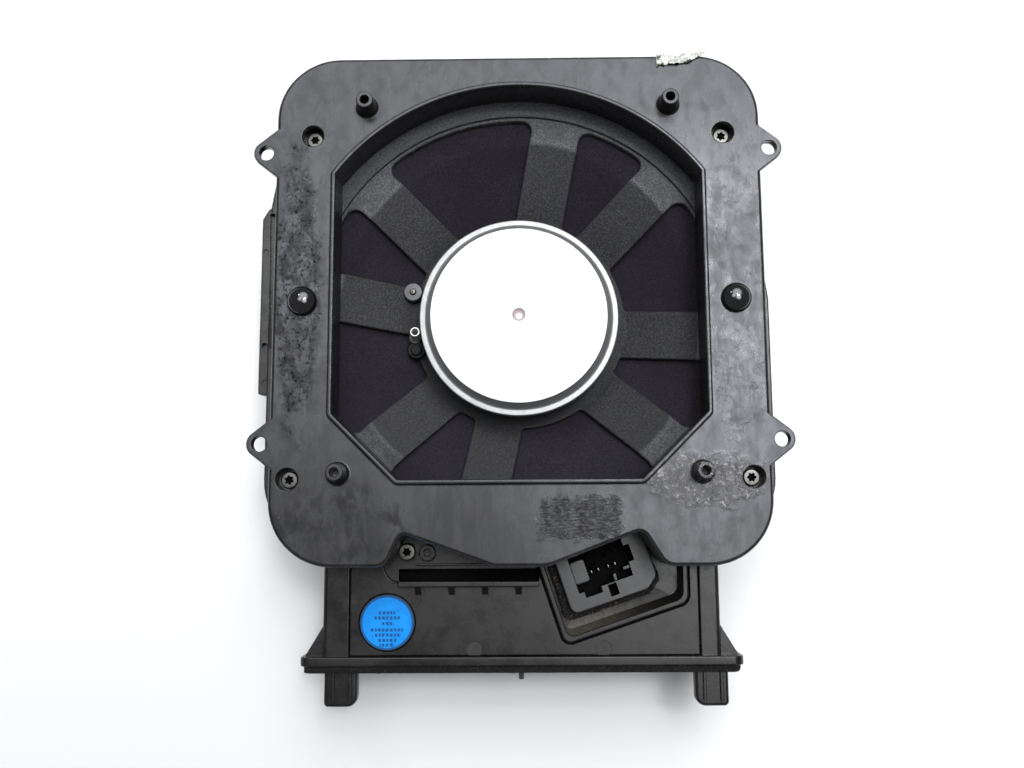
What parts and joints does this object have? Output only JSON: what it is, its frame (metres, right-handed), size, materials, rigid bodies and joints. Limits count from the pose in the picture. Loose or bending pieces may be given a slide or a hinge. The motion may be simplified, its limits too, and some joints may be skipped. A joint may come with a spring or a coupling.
{
  "type": "car subwoofer speaker",
  "caption": "Shallow car woofer in a flat black moulded enclosure, motor side up, with a ducted mouth, mounting ears and a plug socket.",
  "frame": {"origin": "on the driver's axis, at the level of the enclosure's flat underside", "axes": "+Z towards the motor side and the frame's face, -Y towards the duct's mouth, +X to the plug's side"},
  "size_m": [0.2531, 0.309, 0.095],
  "materials": {
    "frame_plastic": "satin moulded black plastic, fine grain",
    "housing_plastic": "matte moulded black plastic",
    "basket_plastic": "coarse spark-eroded grain",
    "socket_plastic": "matte black plastic",
    "foam": "open-cell foam",
    "black_cloth": "fine black cloth",
    "surround_rubber": "smooth black rubber",
    "bumper_gloss": "glossy moulded dome",
    "cone_paper": "pressed black paper pulp",
    "spider_cloth": "resin-dipped corrugated cloth",
    "zinc_plate": "bright zinc-plated steel",
    "ferrite": "ground ferrite",
    "screw_steel": "plated steel",
    "tinned_metal": "tinned brass",
    "former_film": "amber film",
    "copper": "enamelled copper wire",
    "tinsel": "braided tinsel wire",
    "wire_sleeve": "PVC wire sleeve",
    "label_blue": "printed round label"
  },
  "bodies": {
    "enclosure": {"basket": "basket_plastic", "basket_scrim": "black_cloth", "bumper_left": "bumper_gloss", "bumper_right": "bumper_gloss", "connector_housing": "socket_plastic", "connector_pin_1": "tinned_metal", "connector_pin_2": "tinned_metal", "connector_pin_3": "tinned_metal", "connector_pin_4": "tinned_metal", "connector_seal": "foam", "cover_screw": "screw_steel", "driver_gasket": "foam", "driver_screw_1": "screw_steel", "driver_screw_2": "screw_steel", "driver_screw_3": "screw_steel", "driver_screw_4": "screw_steel", "duct_cover": "housing_plastic", "frame_screw_1": "screw_steel", "frame_screw_2": "screw_steel", "frame_screw_3": "screw_steel", "frame_screw_4": "screw_steel", "label": "label_blue", "lower_housing": "housing_plastic", "magnet": "ferrite", "mouth_gasket": "foam", "speaker_wire_1": "wire_sleeve", "speaker_wire_2": "wire_sleeve", "spider": "spider_cloth", "surround": "surround_rubber", "terminal_boss": "socket_plastic", "terminal_tube": "tinned_metal", "terminal_washer": "screw_steel", "tinsel_lead_1": "tinsel", "tinsel_lead_2": "tinsel", "top_frame": "frame_plastic", "top_plate": "zinc_plate", "yoke": "zinc_plate"},
    "cone_assembly": {"cone": "cone_paper", "dust_cap": "cone_paper", "coil_former": "former_film", "coil_winding": "copper"}
  },
  "joints": [
    {"name": "cone_travel", "type": "slide", "parent": "enclosure", "child": "cone_assembly", "axis": [0, 0, 1], "range_m": [-0.006, 0.006], "stiffness_N_per_m": 2500, "deforming": ["surround", "spider", "tinsel_lead_1", "tinsel_lead_2"]}
  ]
}
